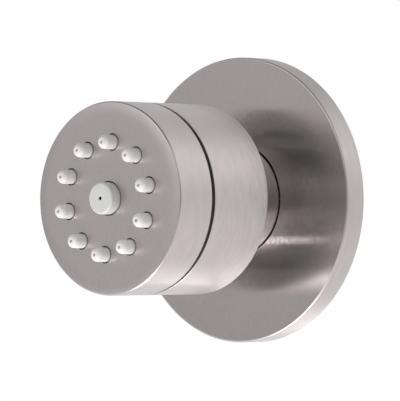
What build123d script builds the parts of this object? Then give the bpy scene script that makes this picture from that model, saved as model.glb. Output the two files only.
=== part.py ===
from build123d import *
from math import acos, cos, degrees, radians, sin, sqrt, tan
import os

# Adjustable shower body jet in millimetres, with +Z up.
# The wall's face is the plane Y = 0 and the jet points along -Y.
# Places along the jet are distances out from the wall's face, and radii are taken from the jet's axis.

# Visible form
rosette_dia = 76.0
rosette_thickness = 6.6
neck_dia = 29.0
neck_ring_gap = 0.4
head_dia = 50.0
head_back = 23.0
rear_shell_length = 20.7
joint_gap = 1.2
front_cap_length = 12.1
rosette_edge_radius = 0.5
shell_edge_radius = 0.5
cap_edge_radius = 0.5
cap_roll_width = 3.5
cap_roll_angle = 10.0
groove_edge_chamfer = 0.15

# Nozzles
nozzle_count = 10
nozzle_pitch_dia = 29.0
nozzle_first_angle = 85.0
nozzle_base_dia = 3.8
nozzle_tip_dia = 3.6
nozzle_height = 4.0
nozzle_tip_radius = 1.4
nozzle_bore_dia = 2.2
nozzle_outlet_dia = 0.9
nozzle_tip_wall = 1.3
nozzle_hole_gap = 0.35
centre_jet_dia = 8.3
centre_jet_height = 3.1
centre_jet_edge_radius = 0.6
centre_jet_bore_dia = 3.2
centre_jet_outlet_dia = 0.9
centre_jet_tip_wall = 1.4
centre_jet_flange_width = 1.1
centre_jet_hole_gap = 0.3

# Rosette back
rosette_web = 3.4
rosette_hub_width = 5.0
rosette_hub_setback = 1.0
rosette_rim_width = 6.0
gasket_width = 3.2
gasket_thickness = 1.6
gasket_edge = 1.3
rosette_o_ring_section = 2.0

# Inlet stem, a G 1/2 male thread with a spanner hexagon
inlet_thread_dia = 20.955
inlet_thread_length = 12.0
inlet_thread_chamfer = 1.0
relief_dia = 17.6
relief_length = 2.0
hexagon_setback = 1.0
hexagon_flats = 22.0
hexagon_length = 7.0
boss_length = 7.0
inlet_bore_dia = 15.0
inlet_bore_depth = 10.0
waterway_dia = 10.0

# Strainer and flow limiter
strainer_flange_thickness = 1.2
strainer_flange_width = 1.3
strainer_taper = 1.2
strainer_wall = 0.8
strainer_end_gap = 0.4
strainer_slots = 12
strainer_slot_width = 0.9
strainer_slot_margin = 0.7
limiter_thickness = 4.0
limiter_groove_depth = 1.2
limiter_groove_width = 1.6
limiter_holes = 6
limiter_hole_dia = 1.8
limiter_hole_pitch_dia = 7.6

# Neck sleeve and ball stem
neck_back = 0.5
neck_end_gap = 3.0
neck_wall = 1.5
neck_flange_thickness = 2.5
neck_edge_radius = 0.6
stem_tail_dia = 14.0
stem_tail_length = 8.5
stem_collar_dia = 19.0
stem_collar_length = 2.0
stem_collar_flats = 16.0
stem_seal_setback = 1.0
stem_seal_width = 1.8
stem_seal_depth = 1.4
ball_stem_dia = 14.0
ball_dia = 24.0
ball_bore_dia = 8.0
ball_bore_chamfer = 0.6

# Ball seats, with angles from the jet's axis at the ball's centre
pivot_depth = 7.0
slide_ring_thickness = 1.2
slide_ring_back_angle = 62.0
slide_ring_front_angle = 80.0
retainer_wall = 1.7
retainer_lip_angle = 57.0
retainer_thread_dia = 34.8
retainer_thread_length = 3.8
retainer_slots = 4
retainer_slot_width = 3.0
retainer_slot_depth = 1.4
cup_back_angle = 70.0
cup_front_angle = 42.0
cup_floor = 1.4
spring_space = 1.0
spring_thickness = 0.5
spring_bore_margin = 0.6

# Head walls and inner parts
head_wall = 2.5
rear_wall = 2.5
rear_opening_dia = 38.0
rear_opening_chamfer = 0.4
face_thickness = 1.6
mat_thickness = 2.2
spray_plate_thickness = 2.8
spray_hole_dia = 2.6
joint_ring_recess = 0.6
throat_dia = 12.0
throat_length = 2.0
chamber_dia = 37.0
chamber_cone_length = 3.5
spray_seal_width = 1.6

# Clearances
thread_clearance = 0.1
slide_clearance = 0.05
ball_clearance = 0.1
seal_clearance = 0.03

# Places along the jet, out from the wall
hexagon_back = -hexagon_setback
relief_back = hexagon_back - relief_length
inlet_end = relief_back - inlet_thread_length
hexagon_front = hexagon_back + hexagon_length
boss_front = hexagon_front + boss_length
inlet_bore_end = inlet_end + inlet_bore_depth
limiter_back = inlet_bore_end - limiter_thickness
neck_front = head_back - neck_end_gap
neck_flange_front = boss_front + neck_flange_thickness
collar_front = neck_flange_front + stem_collar_length
stem_tail_end = boss_front - stem_tail_length
pivot = head_back + pivot_depth
rear_shell_front = head_back + rear_shell_length
cap_back = rear_shell_front + joint_gap
face = cap_back + front_cap_length
face_back = face - face_thickness
mat_back = face_back - mat_thickness
spray_plate_back = mat_back - spray_plate_thickness
socket_back = head_back + rear_wall

# Radii that mating pieces share
neck_radius = neck_dia / 2
rosette_bore_radius = neck_radius + neck_ring_gap
neck_inner_radius = neck_radius - neck_wall
head_inner_radius = head_dia / 2 - head_wall
socket_radius = head_inner_radius - thread_clearance
tail_radius = stem_tail_dia / 2
tail_socket_radius = tail_radius + thread_clearance
inlet_bore_radius = inlet_bore_dia / 2
inlet_fit_radius = inlet_bore_radius - thread_clearance
ball_radius = ball_dia / 2
ball_bore_radius = ball_bore_dia / 2
seat_radius = ball_radius + ball_clearance
slide_ring_radius = seat_radius + slide_ring_thickness
retainer_seat_radius = slide_ring_radius + ball_clearance
retainer_dome_radius = retainer_seat_radius + retainer_wall
retainer_radius = retainer_thread_dia / 2
retainer_socket_radius = retainer_radius + thread_clearance
cup_bore_radius = retainer_seat_radius + ball_clearance
cup_radius = cup_bore_radius - thread_clearance
centre_flange_radius = centre_jet_dia / 2 + centre_jet_flange_width
mat_radius = socket_radius
nozzle_pitch_radius = nozzle_pitch_dia / 2

# A profile on the axial plane has the radius along its x and the distance out from the wall along its y.
axial = Plane(origin=(0, 0, 0), x_dir=(1, 0, 0), z_dir=(0, 0, -1))
jet_axis = Axis.Y


def facing_out(distance):
    """The plane at a distance out from the wall, with its normal along the jet and its y axis up."""
    return Plane(origin=(0, -distance, 0), x_dir=(1, 0, 0), z_dir=(0, -1, 0))


def behind_ball(radius, angle):
    """The profile point at a radius from the ball's centre and an angle from the axis towards the wall."""
    return (radius * sin(radians(angle)), pivot - radius * cos(radians(angle)))


def before_ball(radius, angle):
    """The profile point at a radius from the ball's centre and an angle from the axis away from the wall."""
    return (radius * sin(radians(angle)), pivot + radius * cos(radians(angle)))


def ring_section(inner_radius, outer_radius):
    """The centre radius and section radius of a round seal that fills the gap between two radii."""
    return (inner_radius + outer_radius) / 2, (outer_radius - inner_radius) / 2 - seal_clearance


# Rosette: a turned disc with a hollow back, a gasket groove in its rim and a seal groove in its bore
rosette_radius = rosette_dia / 2
hub_radius = rosette_bore_radius + rosette_hub_width
rim_inner_radius = rosette_radius - rosette_rim_width
web_back = rosette_thickness - rosette_web
gasket_outer_radius = rosette_radius - gasket_edge
gasket_inner_radius = gasket_outer_radius - gasket_width
rosette_seal_bottom = neck_radius + rosette_o_ring_section
rosette_seal_middle = (rosette_hub_setback + rosette_thickness) / 2
rosette_seal_width = rosette_o_ring_section + neck_ring_gap
with BuildPart() as rosette:
    with BuildSketch(axial):
        with BuildLine():
            Polyline(
                (rosette_bore_radius, rosette_hub_setback),
                (hub_radius, rosette_hub_setback),
                (hub_radius, web_back),
                (rim_inner_radius, web_back),
                (rim_inner_radius, 0),
                (rosette_radius, 0),
                (rosette_radius, rosette_thickness),
                (rosette_bore_radius, rosette_thickness),
                close=True,
            )
        make_face()
        with Locations((gasket_inner_radius, 0)):
            Rectangle(gasket_width, gasket_thickness, align=(Align.MIN, Align.MIN), mode=Mode.SUBTRACT)
        with Locations((rosette_bore_radius, rosette_seal_middle)):
            Rectangle(
                rosette_seal_bottom - rosette_bore_radius,
                rosette_seal_width,
                align=(Align.MIN, Align.CENTER),
                mode=Mode.SUBTRACT,
            )
    revolve(axis=jet_axis)
    rosette_rim = rosette.edges().filter_by(GeomType.CIRCLE).group_by(Axis.Y)[0].sort_by(SortBy.RADIUS)[-1]
    fillet(rosette_rim, rosette_edge_radius)

with BuildPart() as rosette_gasket:
    with BuildSketch(axial):
        with Locations((gasket_inner_radius + seal_clearance, 0)):
            Rectangle(
                gasket_width - 2 * seal_clearance,
                gasket_thickness,
                align=(Align.MIN, Align.MIN),
            )
    revolve(axis=jet_axis)

with BuildPart() as rosette_o_ring:
    rosette_ring_radius, rosette_ring_section = ring_section(neck_radius, rosette_seal_bottom)
    with BuildSketch(axial):
        with Locations((rosette_ring_radius, rosette_seal_middle)):
            Circle(rosette_ring_section)
    revolve(axis=jet_axis)

# Inlet stem: the thread, its relief, the hexagon and the boss that centres the neck sleeve
thread_radius = inlet_thread_dia / 2
relief_radius = relief_dia / 2
boss_radius = neck_inner_radius - thread_clearance
with BuildPart() as inlet_stem:
    with BuildSketch(axial):
        with BuildLine():
            Polyline(
                (0, inlet_end),
                (thread_radius - inlet_thread_chamfer, inlet_end),
                (thread_radius, inlet_end + inlet_thread_chamfer),
                (thread_radius, relief_back),
                (relief_radius, relief_back),
                (relief_radius, hexagon_back),
                (relief_radius, hexagon_front),
                (boss_radius, hexagon_front),
                (boss_radius, boss_front),
                (0, boss_front),
                close=True,
            )
        make_face()
    revolve(axis=jet_axis)
    with BuildSketch(facing_out(hexagon_back)):
        RegularPolygon(hexagon_flats / 2, 6, major_radius=False)
    extrude(amount=hexagon_length)
    with BuildSketch(facing_out(inlet_end)):
        Circle(inlet_bore_radius)
    extrude(amount=inlet_bore_depth, mode=Mode.SUBTRACT)
    with BuildSketch(facing_out(inlet_end)):
        Circle(waterway_dia / 2)
    extrude(amount=boss_front - inlet_end, mode=Mode.SUBTRACT)
    with BuildSketch(facing_out(stem_tail_end)):
        Circle(tail_socket_radius)
    extrude(amount=stem_tail_length, mode=Mode.SUBTRACT)

with BuildPart() as inlet_o_ring:
    inlet_ring_section = relief_length / 2 - seal_clearance
    with BuildSketch(axial):
        with Locations((relief_radius + seal_clearance + inlet_ring_section, (relief_back + hexagon_back) / 2)):
            Circle(inlet_ring_section)
    revolve(axis=jet_axis)

# Strainer: a flanged basket whose tapered wall is slotted
strainer_end = limiter_back - strainer_end_gap
basket_radius = inlet_fit_radius - strainer_flange_width
basket_start = inlet_end + strainer_flange_thickness
with BuildPart() as inlet_strainer:
    with BuildSketch(axial):
        with BuildLine():
            Polyline(
                (basket_radius - strainer_wall, inlet_end),
                (inlet_fit_radius, inlet_end),
                (inlet_fit_radius, basket_start),
                (basket_radius, basket_start),
                (basket_radius - strainer_taper, strainer_end),
                (0, strainer_end),
                (0, strainer_end - strainer_wall),
                (basket_radius - strainer_taper - strainer_wall, strainer_end - strainer_wall),
                close=True,
            )
        make_face()
    revolve(axis=jet_axis)
    slot_start = basket_start + strainer_slot_margin
    slot_length = strainer_end - strainer_wall - strainer_slot_margin - slot_start
    with BuildSketch(facing_out(slot_start)):
        with PolarLocations(basket_radius, strainer_slots):
            Rectangle(2 * (strainer_taper + strainer_wall), strainer_slot_width)
    extrude(amount=slot_length, mode=Mode.SUBTRACT)

# Flow limiter: a drilled disc with a seal round its rim
limiter_groove_radius = inlet_fit_radius - limiter_groove_depth
limiter_middle = (limiter_back + inlet_bore_end) / 2
with BuildPart() as flow_limiter:
    with BuildSketch(facing_out(limiter_back)):
        Circle(inlet_fit_radius)
        with PolarLocations(limiter_hole_pitch_dia / 2, limiter_holes):
            Circle(limiter_hole_dia / 2, mode=Mode.SUBTRACT)
    extrude(amount=limiter_thickness)
    with BuildSketch(axial):
        with Locations((limiter_groove_radius, limiter_middle)):
            Rectangle(
                2 * limiter_groove_depth,
                limiter_groove_width,
                align=(Align.MIN, Align.CENTER),
            )
    revolve(axis=jet_axis, mode=Mode.SUBTRACT)

with BuildPart() as limiter_o_ring:
    limiter_ring_radius, limiter_ring_section = ring_section(limiter_groove_radius, inlet_bore_radius)
    with BuildSketch(axial):
        with Locations((limiter_ring_radius, limiter_middle)):
            Circle(limiter_ring_section)
    revolve(axis=jet_axis)

# Neck sleeve: a tube with an inner flange that the ball stem's collar clamps on the inlet stem
with BuildPart() as neck_sleeve:
    with BuildSketch(axial):
        with BuildLine():
            Polyline(
                (neck_inner_radius, neck_back),
                (neck_radius, neck_back),
                (neck_radius, neck_front),
                (neck_inner_radius, neck_front),
                (neck_inner_radius, neck_flange_front),
                (tail_socket_radius, neck_flange_front),
                (tail_socket_radius, boss_front),
                (neck_inner_radius, boss_front),
                close=True,
            )
        make_face()
    revolve(axis=jet_axis)
    neck_end = neck_sleeve.edges().filter_by(GeomType.CIRCLE).group_by(Axis.Y)[0].sort_by(SortBy.RADIUS)[-1]
    fillet(neck_end, neck_edge_radius)

# Ball stem: tail, clamping collar, stem and ball in one turned piece with a through bore
stem_radius = ball_stem_dia / 2
ball_root = pivot - sqrt(ball_radius**2 - stem_radius**2)
bore_mouth_radius = ball_bore_radius + ball_bore_chamfer
ball_front = pivot + sqrt(ball_radius**2 - bore_mouth_radius**2)
tail_groove_radius = tail_radius - stem_seal_depth
tail_groove_middle = stem_tail_end + stem_seal_setback + stem_seal_width / 2
with BuildPart() as ball_stem:
    with BuildSketch(axial):
        with BuildLine():
            Polyline(
                (stem_radius, ball_root),
                (stem_radius, collar_front),
                (stem_collar_dia / 2, collar_front),
                (stem_collar_dia / 2, neck_flange_front),
                (tail_radius, neck_flange_front),
                (tail_radius, stem_tail_end),
                (ball_bore_radius, stem_tail_end),
                (ball_bore_radius, ball_front - ball_bore_chamfer),
                (bore_mouth_radius, ball_front),
            )
            ThreePointArc(
                (bore_mouth_radius, ball_front),
                (ball_radius, pivot),
                (stem_radius, ball_root),
            )
        make_face()
        with Locations((tail_groove_radius, tail_groove_middle)):
            Rectangle(
                2 * stem_seal_depth,
                stem_seal_width,
                align=(Align.MIN, Align.CENTER),
                mode=Mode.SUBTRACT,
            )
    revolve(axis=jet_axis)
    with BuildSketch(facing_out(neck_flange_front)):
        Circle(stem_collar_dia / 2)
        Rectangle(stem_collar_flats, stem_collar_dia, mode=Mode.SUBTRACT)
    extrude(amount=stem_collar_length, mode=Mode.SUBTRACT)

with BuildPart() as stem_o_ring:
    stem_ring_radius, stem_ring_section = ring_section(tail_groove_radius, tail_socket_radius)
    with BuildSketch(axial):
        with Locations((stem_ring_radius, tail_groove_middle)):
            Circle(stem_ring_section)
    revolve(axis=jet_axis)

# Slide ring: a spherical band between the ball and the retainer nut
slide_ring_middle_angle = (slide_ring_back_angle + slide_ring_front_angle) / 2
with BuildPart() as slide_ring:
    with BuildSketch(axial):
        with BuildLine():
            ThreePointArc(
                behind_ball(seat_radius, slide_ring_back_angle),
                behind_ball(seat_radius, slide_ring_middle_angle),
                behind_ball(seat_radius, slide_ring_front_angle),
            )
            Line(
                behind_ball(seat_radius, slide_ring_front_angle),
                behind_ball(slide_ring_radius, slide_ring_front_angle),
            )
            ThreePointArc(
                behind_ball(slide_ring_radius, slide_ring_front_angle),
                behind_ball(slide_ring_radius, slide_ring_middle_angle),
                behind_ball(slide_ring_radius, slide_ring_back_angle),
            )
            Line(
                behind_ball(slide_ring_radius, slide_ring_back_angle),
                behind_ball(seat_radius, slide_ring_back_angle),
            )
        make_face()
    revolve(axis=jet_axis)

# Retainer nut: a threaded ring with a domed lip round the back of the ball
retainer_back = pivot - retainer_thread_length
dome_root = (sqrt(retainer_dome_radius**2 - retainer_thread_length**2), retainer_back)
lip_middle_angle = (retainer_lip_angle + 90) / 2
dome_root_angle = degrees(acos(retainer_thread_length / retainer_dome_radius))
dome_middle_angle = (retainer_lip_angle + dome_root_angle) / 2
with BuildPart() as retainer_nut:
    with BuildSketch(axial):
        with BuildLine():
            ThreePointArc(
                behind_ball(retainer_seat_radius, retainer_lip_angle),
                behind_ball(retainer_seat_radius, lip_middle_angle),
                (retainer_seat_radius, pivot),
            )
            Polyline(
                (retainer_seat_radius, pivot),
                (retainer_radius, pivot),
                (retainer_radius, retainer_back),
                dome_root,
            )
            ThreePointArc(
                dome_root,
                behind_ball(retainer_dome_radius, dome_middle_angle),
                behind_ball(retainer_dome_radius, retainer_lip_angle),
            )
            Line(
                behind_ball(retainer_dome_radius, retainer_lip_angle),
                behind_ball(retainer_seat_radius, retainer_lip_angle),
            )
        make_face()
    revolve(axis=jet_axis)
    with BuildSketch(facing_out(retainer_back)):
        with PolarLocations(retainer_radius, retainer_slots):
            Rectangle(2 * (retainer_radius - retainer_dome_radius), retainer_slot_width)
    extrude(amount=retainer_slot_depth, mode=Mode.SUBTRACT)

# Ball cup: a ring with a spherical seat against the front of the ball
cup_back = before_ball(seat_radius, cup_back_angle)
cup_inner = before_ball(seat_radius, cup_front_angle)
cup_front = cup_inner[1] + cup_floor
with BuildPart() as ball_cup:
    with BuildSketch(axial):
        with BuildLine():
            ThreePointArc(
                cup_back,
                before_ball(seat_radius, (cup_back_angle + cup_front_angle) / 2),
                cup_inner,
            )
            Polyline(
                cup_inner,
                (cup_inner[0], cup_front),
                (cup_radius, cup_front),
                (cup_radius, cup_back[1]),
                cup_back,
            )
        make_face()
    revolve(axis=jet_axis)

# Disc spring: a coned washer between the cup and the socket body's shoulder
spring_shoulder = cup_front + spring_space
spring_back = cup_front + seal_clearance
spring_front = spring_shoulder - seal_clearance
spring_inner_radius = cup_inner[0] + spring_bore_margin
with BuildPart() as disc_spring:
    with BuildSketch(axial):
        with BuildLine():
            Polyline(
                (spring_inner_radius, spring_back),
                (cup_radius, spring_front - spring_thickness),
                (cup_radius, spring_front),
                (spring_inner_radius, spring_back + spring_thickness),
                close=True,
            )
        make_face()
    revolve(axis=jet_axis)

# Socket body: retainer thread and cup bore behind, water chamber and seal groove in front
throat_front = spring_shoulder + throat_length
chamber_radius = chamber_dia / 2
spray_seal_middle = (chamber_radius + socket_radius) / 2
with BuildPart() as socket_body:
    with BuildSketch(axial):
        with BuildLine():
            Polyline(
                (retainer_socket_radius, socket_back),
                (socket_radius, socket_back),
                (socket_radius, spray_plate_back),
                (chamber_radius, spray_plate_back),
                (chamber_radius, throat_front + chamber_cone_length),
                (throat_dia / 2, throat_front),
                (throat_dia / 2, spring_shoulder),
                (cup_bore_radius, spring_shoulder),
                (cup_bore_radius, pivot),
                (retainer_socket_radius, pivot),
                close=True,
            )
        make_face()
        with Locations((spray_seal_middle, spray_plate_back)):
            Rectangle(
                spray_seal_width,
                2 * spray_seal_width,
                mode=Mode.SUBTRACT,
            )
    revolve(axis=jet_axis)

with BuildPart() as spray_plate_o_ring:
    spray_ring_section = spray_seal_width / 2 - seal_clearance
    with BuildSketch(axial):
        with Locations((spray_seal_middle, spray_plate_back - spray_seal_width / 2)):
            Circle(spray_ring_section)
    revolve(axis=jet_axis)

# Rear shell: a cup with a wide opening in its back, so that the head can swing round the neck
shell_radius = head_dia / 2
rear_opening_radius = rear_opening_dia / 2
with BuildPart() as rear_shell:
    with BuildSketch(axial):
        with BuildLine():
            Polyline(
                (rear_opening_radius, head_back),
                (shell_radius, head_back),
                (shell_radius, rear_shell_front),
                (head_inner_radius, rear_shell_front),
                (head_inner_radius, socket_back),
                (rear_opening_radius, socket_back),
                close=True,
            )
        make_face()
    revolve(axis=jet_axis)
    shell_back_edges = rear_shell.edges().filter_by(GeomType.CIRCLE).group_by(Axis.Y)[-1].sort_by(SortBy.RADIUS)
    fillet(shell_back_edges[-1], shell_edge_radius)
    chamfer(shell_back_edges[0], rear_opening_chamfer)
    shell_front_edge = rear_shell.edges().filter_by(GeomType.CIRCLE).group_by(Axis.Y)[0].sort_by(SortBy.RADIUS)[-1]
    chamfer(shell_front_edge, groove_edge_chamfer)

# Joint ring: the dark ring that shows in the groove between shell and cap
joint_ring_radius = shell_radius - joint_ring_recess
with BuildPart() as joint_ring:
    with BuildSketch(facing_out(rear_shell_front)):
        Circle(joint_ring_radius)
        Circle(head_inner_radius, mode=Mode.SUBTRACT)
    extrude(amount=joint_gap)

# Front cap: a shallow cup whose face is drilled for the nozzles and the centre jet
nozzle_hole_radius = nozzle_base_dia / 2 + nozzle_hole_gap
centre_hole_radius = centre_jet_dia / 2 + centre_jet_hole_gap
cap_roll_start = shell_radius - cap_roll_width
cap_corner = face - cap_roll_width * tan(radians(cap_roll_angle / 2))
with BuildPart() as front_cap:
    with BuildSketch(axial):
        with BuildLine():
            Polyline(
                (cap_roll_start, face),
                (0, face),
                (0, face_back),
                (head_inner_radius, face_back),
                (head_inner_radius, cap_back),
                (shell_radius, cap_back),
                (shell_radius, cap_corner),
            )
            TangentArc((cap_roll_start, face), (shell_radius, cap_corner), tangent=(1, 0))
        make_face()
    revolve(axis=jet_axis)
    cap_circles = front_cap.edges().filter_by(GeomType.CIRCLE)
    cap_rims = cap_circles.group_by(SortBy.RADIUS)[-1].sort_by(Axis.Y)
    fillet(cap_rims[0], cap_edge_radius)
    chamfer(cap_rims[-1], groove_edge_chamfer)
    with BuildSketch(facing_out(face_back)):
        Circle(centre_hole_radius)
        with PolarLocations(nozzle_pitch_radius, nozzle_count, start_angle=nozzle_first_angle):
            Circle(nozzle_hole_radius)
    extrude(amount=face_thickness, mode=Mode.SUBTRACT)

# Spray plate: a drilled disc that feeds each nozzle
with BuildPart() as spray_plate:
    with BuildSketch(facing_out(spray_plate_back)):
        Circle(mat_radius)
        Circle(spray_hole_dia / 2, mode=Mode.SUBTRACT)
        with PolarLocations(nozzle_pitch_radius, nozzle_count, start_angle=nozzle_first_angle):
            Circle(spray_hole_dia / 2, mode=Mode.SUBTRACT)
    extrude(amount=spray_plate_thickness)

# One nozzle about its own axis: a tapered tip with a rounded end
nozzle_tip = face + nozzle_height
nozzle_base_radius = nozzle_base_dia / 2
nozzle_tip_edge = nozzle_tip_dia / 2
with BuildPart() as nozzle:
    with BuildSketch(axial):
        with BuildLine():
            Polyline(
                (0, nozzle_tip),
                (0, mat_back),
                (nozzle_base_radius, mat_back),
                (nozzle_base_radius, face),
                (nozzle_tip_edge, nozzle_tip - nozzle_tip_radius),
            )
            RadiusArc(
                (nozzle_tip_edge, nozzle_tip - nozzle_tip_radius),
                (nozzle_tip_edge - nozzle_tip_radius, nozzle_tip),
                -nozzle_tip_radius,
            )
            Line((nozzle_tip_edge - nozzle_tip_radius, nozzle_tip), (0, nozzle_tip))
        make_face()
    revolve(axis=jet_axis)

# Nozzle mat: a soft disc that carries the ring of nozzles and makes room for the centre jet
with BuildPart() as nozzle_mat:
    with BuildSketch(facing_out(mat_back)):
        Circle(mat_radius)
        Circle(centre_flange_radius + slide_clearance, mode=Mode.SUBTRACT)
    extrude(amount=mat_thickness)
    for step in range(nozzle_count):
        turn = radians(nozzle_first_angle + step * 360 / nozzle_count)
        with Locations((nozzle_pitch_radius * cos(turn), 0, nozzle_pitch_radius * sin(turn))):
            add(nozzle.part)
    with BuildSketch(facing_out(mat_back)):
        with PolarLocations(nozzle_pitch_radius, nozzle_count, start_angle=nozzle_first_angle):
            Circle(nozzle_bore_dia / 2)
    extrude(amount=nozzle_tip - nozzle_tip_wall - mat_back, mode=Mode.SUBTRACT)
    with BuildSketch(facing_out(mat_back)):
        with PolarLocations(nozzle_pitch_radius, nozzle_count, start_angle=nozzle_first_angle):
            Circle(nozzle_outlet_dia / 2)
    extrude(amount=nozzle_tip - mat_back, mode=Mode.SUBTRACT)

# Centre jet: a blunt hollow plug, held behind the face by its flange
centre_jet_front = face + centre_jet_height
centre_jet_radius = centre_jet_dia / 2
with BuildPart() as centre_jet:
    with BuildSketch(axial):
        with BuildLine():
            Polyline(
                (centre_jet_bore_dia / 2, mat_back),
                (centre_flange_radius, mat_back),
                (centre_flange_radius, face_back),
                (centre_jet_radius, face_back),
                (centre_jet_radius, centre_jet_front),
                (centre_jet_outlet_dia / 2, centre_jet_front),
                (centre_jet_outlet_dia / 2, centre_jet_front - centre_jet_tip_wall),
                (centre_jet_bore_dia / 2, centre_jet_front - centre_jet_tip_wall),
                close=True,
            )
        make_face()
    revolve(axis=jet_axis)
    jet_front_edges = centre_jet.edges().filter_by(GeomType.CIRCLE).group_by(Axis.Y)[0]
    fillet(jet_front_edges.sort_by(SortBy.RADIUS)[-1], centre_jet_edge_radius)

pieces = {
    "rosette": rosette,
    "rosette_gasket": rosette_gasket,
    "rosette_o_ring": rosette_o_ring,
    "inlet_stem": inlet_stem,
    "inlet_o_ring": inlet_o_ring,
    "inlet_strainer": inlet_strainer,
    "flow_limiter": flow_limiter,
    "limiter_o_ring": limiter_o_ring,
    "neck_sleeve": neck_sleeve,
    "ball_stem": ball_stem,
    "stem_o_ring": stem_o_ring,
    "slide_ring": slide_ring,
    "retainer_nut": retainer_nut,
    "ball_cup": ball_cup,
    "disc_spring": disc_spring,
    "socket_body": socket_body,
    "spray_plate_o_ring": spray_plate_o_ring,
    "rear_shell": rear_shell,
    "joint_ring": joint_ring,
    "front_cap": front_cap,
    "spray_plate": spray_plate,
    "nozzle_mat": nozzle_mat,
    "centre_jet": centre_jet,
}
os.makedirs("parts", exist_ok=True)
for name, piece in pieces.items():
    piece.part.label = name
    export_step(piece.part, f"parts/{name}.step")
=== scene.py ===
import logging
import math
from dataclasses import dataclass, field
from enum import Enum
from typing import Iterable, Sequence

import bmesh
import bpy
from mathutils import Matrix, Vector


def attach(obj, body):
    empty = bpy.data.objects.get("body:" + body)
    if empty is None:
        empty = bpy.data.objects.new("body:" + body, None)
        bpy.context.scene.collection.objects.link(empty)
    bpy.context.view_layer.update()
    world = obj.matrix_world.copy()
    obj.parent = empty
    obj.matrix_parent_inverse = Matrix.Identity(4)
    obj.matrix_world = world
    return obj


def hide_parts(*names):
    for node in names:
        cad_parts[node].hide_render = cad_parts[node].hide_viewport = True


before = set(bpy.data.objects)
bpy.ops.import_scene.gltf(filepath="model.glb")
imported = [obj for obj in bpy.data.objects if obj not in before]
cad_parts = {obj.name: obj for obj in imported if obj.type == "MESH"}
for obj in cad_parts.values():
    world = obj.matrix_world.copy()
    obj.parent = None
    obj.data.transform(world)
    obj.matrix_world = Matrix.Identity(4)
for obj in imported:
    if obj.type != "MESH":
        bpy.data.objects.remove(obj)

# An adjustable shower body jet, dressed for its render.
# The wall's face is the plane Y = 0, the jet points along -Y and +Z is up, in metres.
# "out" is a distance from the wall's face along the jet, and a radius is taken from the jet's axis.

LOG = logging.getLogger("body_jet")
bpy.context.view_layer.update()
MM = 0.001
MERGE = 0.001 * MM
ORIGIN = (0.0, 0.0, 0.0)
TURNING_AXIS = (0.0, 1.0, 0.0)
TURNED_SEGMENTS = 192
CORNER_SEGMENTS = 5
HOLE_EDGE_SEGMENTS = 2
ROUND_PROFILE = 0.5
WALL_SLOPE = 0.5
SHARP_ANGLE = math.radians(35.0)
NORMAL_WEIGHT = 100
BRUSH_MAP = "brush"
MAP_SIZE = 100.0 * MM
QUARTER_TURN = 0.25
FINE_LINES = 16000.0
MIX_COLOURS_IN = (6, 7)
MIX_COLOUR_OUT = 2

Colour = tuple[float, float, float]
Point = tuple[float, float, float]
Pair = tuple[float, float]
Form = bmesh.types.BMesh
Material = bpy.types.Material
Node = bpy.types.Node
Socket = bpy.types.NodeSocket
Feed = Socket | float | Point


class Grain(Enum):
    """The way a metal surface was brushed."""

    TURNED = "turned_grain"
    STRAIGHT = "straight_grain"


class Body(Enum):
    """The rigid bodies that the pieces ride on."""

    WALL_FITTING = "wall_fitting"
    ROSETTE_PLATE = "rosette_plate"
    SPRAY_HEAD = "spray_head"


class Facing(Enum):
    """The two ways that a flat face can look, by the sign of its normal's Y."""

    OUT = -1.0
    WALL = 1.0


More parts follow.
